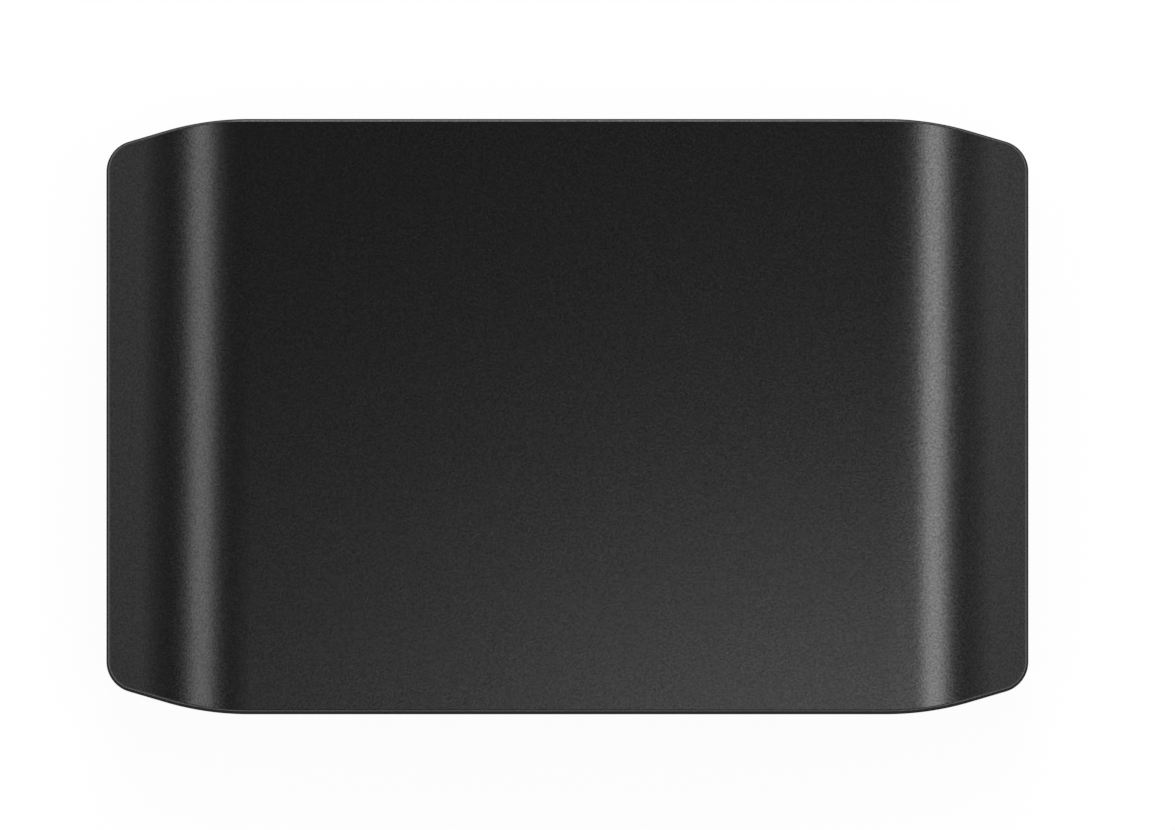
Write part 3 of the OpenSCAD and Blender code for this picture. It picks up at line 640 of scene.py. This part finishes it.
chip_epoxy, tree, face = epoxy("moulded_epoxy")
close_material(tree, face, IOR=epoxy_ior)
bare_chips = (
    "input_receiver",
    "output_driver",
    "data_controller",
    "memory_chips",
    "voltage_regulators",
    "surge_arrays",
)
for node in bare_chips:
    dress(node, chip_epoxy, edge=0.05 * mm)


def second_finish(tree, face, distance, limit, code):
    """Another colour beyond a limit of a distance, and the mask that says where."""
    mask = add_node(tree, "ShaderNodeMath", {0: distance, 1: limit}, operation="GREATER_THAN").outputs[0]
    inputs = {0: mask, 6: face["colour"], 7: linear(code)}
    face["colour"] = add_node(tree, "ShaderNodeMix", inputs, data_type="RGBA").outputs[2]
    return mask


tin_grey = "#c2c4c5"
lead_reach = 1 * mm
for node in ("audio_converter", "flash_memory"):
    low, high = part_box(node)
    # The same epoxy, with the bright grey of tinned leads beyond its two long sides.
    leaded_epoxy, tree, face = epoxy(node + "_epoxy_and_tin")
    off = apart(tree, along(tree, face, "Y"), (low.y + high.y) / 2)
    tin = second_finish(tree, face, off, (high.y - low.y) / 2 - lead_reach, tin_grey)
    close_material(tree, face, IOR=epoxy_ior, Metallic=tin)
    dress(node, leaded_epoxy, edge=0.03 * mm)

# Processor and heat sink
# The video processor is an epoxy cap on a green substrate. A soft pad carries its heat to a finned
# sink, cut from an aluminium extrusion, which rests on it under the ribs of the cover.

# Epoxy as on the other chips, with the green edge of the laminate substrate under it.
substrate_h = 0.5 * mm
low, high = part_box("video_processor")
capped_epoxy, tree, face = epoxy("epoxy_cap_on_substrate")
below_top = apart(tree, along(tree, face, "Z"), high.z)
second_finish(tree, face, below_top, high.z - low.z - substrate_h, "#1b5537")
close_material(tree, face, IOR=epoxy_ior)
dress("video_processor", capped_epoxy, edge=0.05 * mm)
# Silicone rubber full of ceramic powder: chalky grey-blue, dull, with a dimpled cut face.
silicone_pad, tree, face = grained(
    "filled_silicone",
    size=0.25 * mm,
    colours=("#8797a6", "#9babb9"),
    gloss=(0.7, 0.9),
    depth=0.01 * mm,
)
close_material(tree, face, IOR=1.43)
dress("thermal_pad", silicone_pad, edge=0.1 * mm)
# Plain aluminium with the long die lines of the extrusion, which draw its shine out along the fins.
extruded_alloy, tree, face = grained(
    "extruded_aluminium",
    size=0.15 * mm,
    colours=("#a9acaf", "#bfc2c4"),
    gloss=(0.3, 0.48),
    depth=0.004 * mm,
    stretch=(1, 30, 1),
)
close_material(tree, face, Metallic=1.0)
dress("heat_sink", extruded_alloy, edge=0.1 * mm)

# Power parts
# Three inductors of pressed iron powder and two aluminium cans on black bases smooth the supply,
# and two small plated cans hold the clock crystals.

# Iron powder pressed in resin: a dark, granular grey with hardly any shine.
pressed_iron, tree, face = grained(
    "pressed_iron_powder",
    size=0.14 * mm,
    colours=("#3f4043", "#5a5b5f"),
    gloss=(0.6, 0.8),
    depth=0.01 * mm,
)
close_material(tree, face, IOR=1.6)
dress("power_inductors", pressed_iron, edge=0.15 * mm)
# Aluminium drawn to a cup: clean and bright, above a base of black plastic.
can_base_h = 0.8 * mm
low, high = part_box("polymer_capacitors")
drawn_can, tree, face = grained(
    "drawn_aluminium_can",
    size=0.2 * mm,
    colours=("#b1b4b6", "#c8cbcd"),
    gloss=(0.24, 0.36),
    depth=0.002 * mm,
)
below_top = apart(tree, along(tree, face, "Z"), high.z)
base = second_finish(tree, face, below_top, high.z - low.z - can_base_h, "#1a1a1b")
metal = add_node(tree, "ShaderNodeMath", {0: 1.0, 1: base}, operation="SUBTRACT").outputs[0]
close_material(tree, face, Metallic=metal)
dress("polymer_capacitors", drawn_can, edge=0.15 * mm)
dress("clock_crystals", nickel_steel, edge=0.08 * mm)

# Capacitors and resistors
# Rows of small fired ceramic blocks round the chips, tan for the capacitors and glazed black for
# the resistors. They are soldered down by the tinned caps on their two ends.
end_cap = 0.3 * mm
blocks = (
    ("ceramic_capacitors", 1.6 * mm, "fired_titanate_ceramic", ("#8f7350", "#a98a64"), (0.5, 0.65)),
    ("chip_resistors", 1 * mm, "glazed_alumina", ("#161617", "#222324"), (0.3, 0.45)),
)
for node, length, name, colours, gloss in blocks:
    low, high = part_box(node)
    # Fired ceramic, dry and even, between ends of soft grey solder.
    ceramic, tree, face = grained(name, 0.1 * mm, colours, gloss, depth=0.003 * mm)
    off = apart(tree, along(tree, face, "Y"), (low.y + high.y) / 2)
    off = apart(tree, off, (high.y - low.y - length) / 2)
    tin = second_finish(tree, face, off, length / 2 - end_cap, tin_grey)
    close_material(tree, face, IOR=1.6, Metallic=tin)
    dress(node, ceramic, edge=0.04 * mm)

# Status light
# A white light-emitting diode in pale moulded resin. It is soldered to the board close behind the
# light pipe, and shines into its flange.

# Clear resin with phosphor in it: a creamy yellow that glows a little at its edges.
phosphor_resin, tree, face = grained(
    "phosphor_resin",
    size=0.2 * mm,
    colours=("#ece5c2", "#f6f2dd"),
    gloss=(0.3, 0.42),
    depth=0.002 * mm,
)
close_material(tree, face, IOR=1.5, Subsurface_Weight=0.2)
dress("status_led", phosphor_resin, edge=0.06 * mm)

# Board screws
# Four pan-head screws of zinc-plated steel, cold-headed from wire. They are driven up through the
# board into the bosses of the top cover.

# Bright zinc: a cool, slightly cloudy grey with a soft shine.
zinc_steel, tree, face = grained(
    "zinc_plated_steel",
    size=0.2 * mm,
    colours=("#9ea2a6", "#b7babd"),
    gloss=(0.26, 0.42),
    depth=0.002 * mm,
)
close_material(tree, face, Metallic=1.0)
dress("board_screws", zinc_steel, edge=0.08 * mm)

# Bottom cover
# The tray that closes the case from below is moulded in the same black ABS. It has a groove for
# the lip of the top cover, a row of ventilation slots, and recesses for the feet over its screws.
base_r = 1.2 * mm
base_rings = [
    plan_ring(base_r * (1 - math.sin(a)), floor_z + base_r * (1 - math.cos(a))) for a in edge_turns
]
bottom_cover = make_solid("bottom_cover_moulding", [[*base_rings, plan_ring(0, seam_z)]])
spare = 0.2 * mm
head_r = 2.4 * mm
pillar_r = head_r + 1.2 * mm
tray = make_hollow()
shape_with(tray, "DIFFERENCE", make_solid("pillars", rods(case_places, pillar_r, foot_low.z, seam_z)))
groove_z = cover_low.z - spare
groove_in = wall + 0.3 * mm
groove = make_solid("groove", [[plan_ring(wall / 2, z) for z in (groove_z, seam_z + spare)]])
groove_core = make_solid(
    "groove_core", [[plan_ring(groove_in, z) for z in (groove_z - spare, seam_z + 2 * spare)]]
)
shape_with(groove, "DIFFERENCE", groove_core)
foot_clear = 0.1 * mm
hole_r = 1.45 * mm
seat_z = seam_z - 1.2 * mm
recesses = make_solid("recesses", rods(case_places, foot_r + foot_clear, foot_low.z, foot_high.z))
head_bores = make_solid("head_bores", rods(case_places, head_r, foot_low.z, seat_z))
screw_holes = make_solid("screw_holes", rods(case_places, hole_r, foot_low.z, seam_z + spare))
vent_count = 11
vent_pitch = 3.2 * mm
vent_len = 20 * mm
vent_r = 0.75 * mm
vent_reach = vent_len / 2 - vent_r
vent_places = [(i - (vent_count - 1) / 2) * vent_pitch for i in range(vent_count)]
vent_outlines = [rounded([(x, -vent_reach), (x, vent_reach)], vent_r) for x in vent_places]
vent_levels = (foot_low.z, floor_z + 2 * wall)
vents = make_solid("vents", [[flat(line, z) for z in vent_levels] for line in vent_outlines])
shape_with(bottom_cover, "DIFFERENCE", tray, groove, recesses, head_bores, screw_holes, vents)
place_moulding(bottom_cover, "bottom_cover")

# Case screws
# Four longer screws of the same kind, driven up through the pillars of the bottom cover into the
# bosses of the top one.
dress("case_screws", zinc_steel, edge=0.08 * mm)

# Feet
# Four round feet of moulded rubber. They are stuck into the recesses of the bottom cover, where
# they hide the heads of the case screws.

# Soft rubber off a blasted mould: a dusty dark grey with no highlight and a fine pebble.
matt_rubber, tree, face = grained(
    "moulded_rubber",
    size=0.3 * mm,
    colours=("#262627", "#303031"),
    gloss=(0.72, 0.9),
    depth=0.012 * mm,
)
close_material(tree, face, IOR=1.52)
for node in ("foot_front_left", "foot_front_right", "foot_rear_left", "foot_rear_right"):
    dress(node, matt_rubber, edge=0.15 * mm)

# Stage
# A plain white floor in a tent of soft light. Two strip lamps hang over the ends, a tall soft box
# stands behind, two panels hang in front of the middle, and the camera looks straight down.
floor_half = 2.0
mesh = bpy.data.meshes.new("floor")
mesh.from_pydata(flat(corners_of(floor_half, floor_half), 0), [], [(0, 2, 3, 1)])
floor = bpy.data.objects.new("floor", mesh)
bpy.context.scene.collection.objects.link(floor)
white_paper = bpy.data.materials.new("white_paper")
white_paper.use_nodes = True
tree = white_paper.node_tree
tree.nodes.clear()
# White paper that keeps a faint shadow, looks white in reflections, and is clear from below.
paper_glow = 0.95
rays = add_node(tree, "ShaderNodeLightPath").outputs
seen = rays["Is Camera Ray"]
for other in ("Is Glossy Ray", "Is Transmission Ray"):
    seen = add_node(tree, "ShaderNodeMath", {0: seen, 1: rays[other]}, operation="MAXIMUM").outputs[0]
share = add_node(tree, "ShaderNodeMath", {0: seen, 1: paper_glow}, operation="MULTIPLY").outputs[0]
paper = add_node(tree, "ShaderNodeBsdfDiffuse", {"Color": linear("#f4f4f4")}).outputs[0]
glow = add_node(tree, "ShaderNodeEmission", {"Color": linear("#ffffff"), "Strength": 1.0}).outputs[0]
front = add_node(tree, "ShaderNodeMixShader", {0: share, 1: paper, 2: glow}).outputs[0]
clear = add_node(tree, "ShaderNodeBsdfTransparent").outputs[0]
below = add_node(tree, "ShaderNodeNewGeometry").outputs["Backfacing"]
sides = add_node(tree, "ShaderNodeMixShader", {0: below, 1: front, 2: clear}).outputs[0]
add_node(tree, "ShaderNodeOutputMaterial", {"Surface": sides})
floor.data.materials.append(white_paper)

# The tent is white near the floor and dark overhead, and a little brighter on the right
tent_levels = [(0.0, 1.0), (0.5, 1.0), (0.616, 0.92), (0.669, 0.52), (0.766, 0.13), (0.82, 0.025)]
tent_lean = math.radians(1.8)
world = bpy.data.worlds.new("studio_tent")
bpy.context.scene.world = world
world.use_nodes = True
tree = world.node_tree
tree.nodes.clear()
direction = add_node(tree, "ShaderNodeTexCoord").outputs["Generated"]
leaning = add_node(tree, "ShaderNodeMapping", {"Vector": direction, "Rotation": (0, tent_lean, 0)})
height = add_node(tree, "ShaderNodeSeparateXYZ", {"Vector": leaning.outputs[0]}).outputs["Z"]
tent = add_node(tree, "ShaderNodeValToRGB", {"Fac": height})
stops = tent.color_ramp.elements
stops.remove(stops[-1])
for position, level in tent_levels:
    stop = stops.new(position) if position else stops[0]
    stop.color = (level, level, level, 1)
camera_ray = add_node(tree, "ShaderNodeLightPath").outputs["Is Camera Ray"]
sky = add_node(
    tree,
    "ShaderNodeMix",
    {0: camera_ray, 6: tent.outputs["Color"], 7: linear("#ffffff")},
    data_type="RGBA",
)
background = add_node(tree, "ShaderNodeBackground", {"Color": sky.outputs[2], "Strength": 1.0})
add_node(tree, "ShaderNodeOutputWorld", {"Surface": background.outputs[0]})


def add_lamp(name, place, aim, size, radiance):
    """Rectangular soft lamp that sends out light of one radiance towards a point."""
    light = bpy.data.lights.new(name, "AREA")
    light.shape = "RECTANGLE"
    light.size, light.size_y = size
    light.energy = radiance * math.pi * size[0] * size[1]
    lamp = bpy.data.objects.new(name, light)
    bpy.context.scene.collection.objects.link(lamp)
    lamp.location = place
    lamp.rotation_euler = (aim - lamp.location).to_track_quat("-Z", "Y").to_euler()
    lamp.visible_camera = False


# The strips draw the two long highlights where the top bends down
strip_far = 0.7
strip_turn = math.radians(22.9)
strip_size = (0.45, 0.12)
for name, side, radiance in (("strip_left", -1, 3.75), ("strip_right", 1, 6.85)):
    bend_middle = Vector((side * (slope_start + slope_r * math.sin(strip_turn / 2)), 0, cover_top))
    reach = Vector((side * math.sin(strip_turn), 0, math.cos(strip_turn))) * strip_far
    add_lamp(name, bend_middle + reach, bend_middle, strip_size, radiance)

# The box behind draws the pale line along the rear edge
back_far = 0.8
back_turn = math.radians(40)
back_size = (0.36, 0.8)
back_radiance = 5.6
back_aim = Vector((0, half_d, cover_top))
back_reach = Vector((0, math.cos(back_turn), math.sin(back_turn))) * back_far
add_lamp("back_box", back_aim + back_reach, back_aim, back_size, back_radiance)

# The panels lie side by side, and brighten the top towards the front and the right
panel_far = 0.45
panel_y = -57 * mm
panel_d = 0.07
dim_left = -0.085
panel_left = -5 * mm
panel_right = 0.15
panels = (
    ("panel", panel_left, panel_right, 2.85),
    ("dim_panel", dim_left, panel_left, 0.68),
)
for name, left, right, radiance in panels:
    middle = Vector(((left + right) / 2, panel_y, cover_top + panel_far))
    add_lamp(name, middle, middle - Vector((0, 0, 1)), (right - left, panel_d), radiance)

camera_data = bpy.data.cameras.new("camera")
camera = bpy.data.objects.new("camera", camera_data)
bpy.context.scene.collection.objects.link(camera)
bpy.context.scene.camera = camera
frame_w = 142.75 * mm
camera_data.type = "ORTHO"
camera_data.ortho_scale = frame_w
camera_tilt = math.radians(0.5)
camera_far = 0.6
camera_x = 2.44 * mm
camera_y = 0.225 * mm
camera.rotation_euler = (camera_tilt, 0, 0)
camera.location = (
    camera_x,
    camera_y - math.sin(camera_tilt) * camera_far,
    math.cos(camera_tilt) * camera_far,
)
bpy.context.scene.view_settings.view_transform = "Standard"
